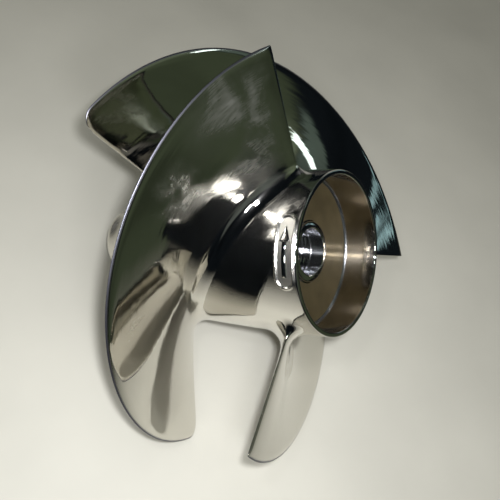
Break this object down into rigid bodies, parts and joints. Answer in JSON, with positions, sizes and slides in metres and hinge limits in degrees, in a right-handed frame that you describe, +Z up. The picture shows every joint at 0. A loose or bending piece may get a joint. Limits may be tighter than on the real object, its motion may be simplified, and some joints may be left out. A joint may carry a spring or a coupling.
{
  "type": "pump impeller",
  "caption": "Polished stainless axial-flow pump impeller: an open hub with a threaded bore, and wide overlapping helical blades.",
  "frame": {"origin": "centre of the bounding box's footprint, on the floor", "axes": "+Z up; the shaft axis lies in the YZ plane, the open rear end of the hub points to -Y and up at 42.0 degrees, and the nose to +Y and down"},
  "size_m": [0.1514, 0.1232, 0.1304],
  "materials": {
    "polished_steel": "mirror-polished stainless steel"
  },
  "bodies": {
    "root": {"impeller": "polished_steel"}
  },
  "joints": []
}
